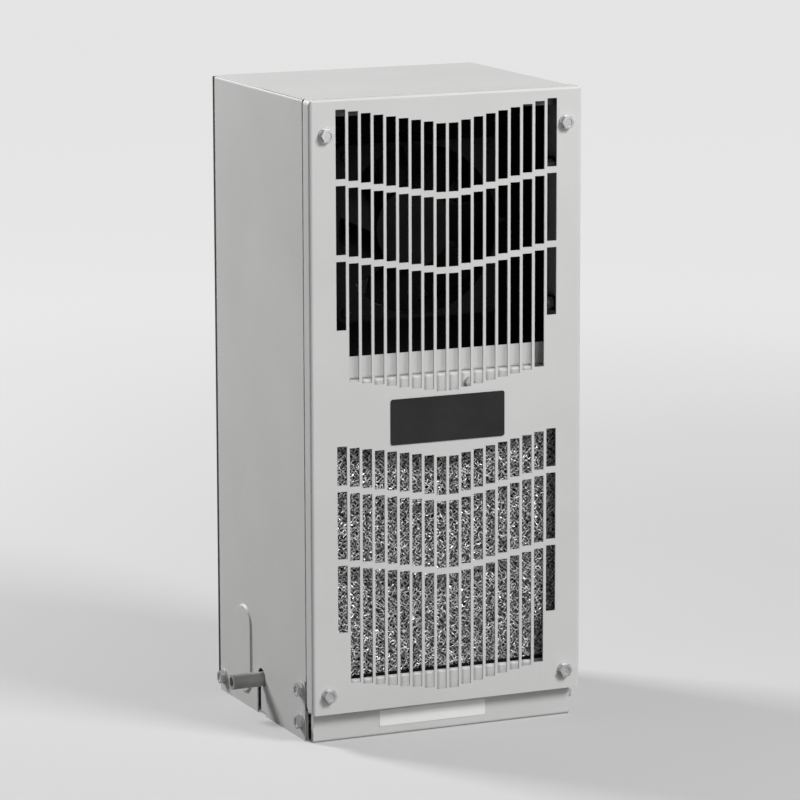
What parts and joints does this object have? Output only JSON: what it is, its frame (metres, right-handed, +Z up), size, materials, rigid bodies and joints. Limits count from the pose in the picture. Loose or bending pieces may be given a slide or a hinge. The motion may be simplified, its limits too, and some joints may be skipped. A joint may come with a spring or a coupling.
{
  "type": "enclosure cooling unit",
  "caption": "Narrow wall-mounted closed-loop cooling unit with a slotted lift-off front cover, air filter, condenser and blower chambers and a drain spout.",
  "frame": {"origin": "middle of the underside, on the base pan's lower face", "axes": "+Z up; +X to the right seen from the front; the front cover faces -Y, the wall or cabinet side is +Y"},
  "size_m": [0.2208, 0.1772, 0.432],
  "materials": {
    "powder_coat": "satin, fine texture",
    "black_plate": "glossy",
    "label_film": "matt",
    "zinc_steel": "bright zinc plate",
    "filter_aluminium": "woven mesh",
    "fin_aluminium": "bare",
    "copper": "bare copper",
    "black_steel": "satin",
    "black_plastic": "satin",
    "foam": "matt",
    "rubber": "matt",
    "drain_plastic": "satin",
    "ivory_plastic": "satin"
  },
  "bodies": {
    "housing": {"shell": "powder_coat", "base_pan": "powder_coat", "side_screws": "zinc_steel", "blank_label": "label_film", "rear_panel": "powder_coat", "rear_screws": "zinc_steel", "gasket_strips": "foam", "mounting_nuts": "zinc_steel", "divider_shelf": "powder_coat", "shelf_baffle": "powder_coat", "shelf_screws": "zinc_steel", "fan_plate": "black_steel", "wing_nuts": "zinc_steel", "fan_frame": "black_plastic", "fan_stator": "black_plastic", "fan_screws": "black_steel", "partition": "zinc_steel", "partition_foam": "foam", "condenser_fins": "fin_aluminium", "condenser_tubes": "copper", "condenser_plates": "zinc_steel", "compressor": "black_steel", "compressor_foot": "black_steel", "compressor_grommets": "rubber", "compressor_nuts": "zinc_steel", "terminal_cover": "black_plastic", "discharge_line": "copper", "suction_line": "copper", "liquid_line": "copper", "filter_drier": "copper", "capillary_tube": "copper", "evaporator_fins": "fin_aluminium", "evaporator_tubes": "copper", "evaporator_plates": "zinc_steel", "drain_pan": "black_plastic", "drain_tube": "drain_plastic", "blower_stator": "zinc_steel", "motor_screws": "zinc_steel", "inlet_ring": "zinc_steel", "control_box": "zinc_steel", "control_lid": "zinc_steel", "lid_screws": "zinc_steel", "run_capacitor": "fin_aluminium", "fan_relay": "black_plastic", "terminal_block": "ivory_plastic", "thermostat": "black_plastic", "cable_grommet": "rubber", "compressor_lead": "rubber", "fan_lead": "rubber"},
    "cover": {"front_cover": "powder_coat", "nameplate": "black_plate", "cover_screws": "zinc_steel"},
    "filter": {"filter_frame": "black_steel", "filter_mesh": "filter_aluminium"},
    "ambient_fan": {"fan_rotor": "black_plastic"},
    "enclosure_blower": {"blower_rotor": "black_steel", "blower_impeller": "black_plastic"},
    "thermostat_knob": {"thermostat_dial": "black_plastic"}
  },
  "joints": [
    {"name": "cover_lift_off", "type": "slide", "parent": "housing", "child": "cover", "axis": [0, -1, 0], "range_m": [0, 0.12]},
    {"name": "filter_pull", "type": "slide", "parent": "housing", "child": "filter", "axis": [0, -1, 0], "range_m": [0, 0.06]},
    {"name": "ambient_fan_spin", "type": "hinge", "parent": "housing", "child": "ambient_fan", "pos_m": [0, -0.0146, 0.335], "axis": [0, -1, 0], "continuous": true},
    {"name": "enclosure_blower_spin", "type": "hinge", "parent": "housing", "child": "enclosure_blower", "pos_m": [0, 0.0394, 0.31], "axis": [0, 1, 0], "continuous": true},
    {"name": "thermostat_turn", "type": "hinge", "parent": "housing", "child": "thermostat_knob", "pos_m": [-0.04712, 0.0854, 0.3975], "axis": [0, 1, 0], "range_deg": [0, 270]}
  ],
  "couplings": [
    {"joint": "filter_pull", "follows": "cover_lift_off", "ratio": 0.5}
  ]
}
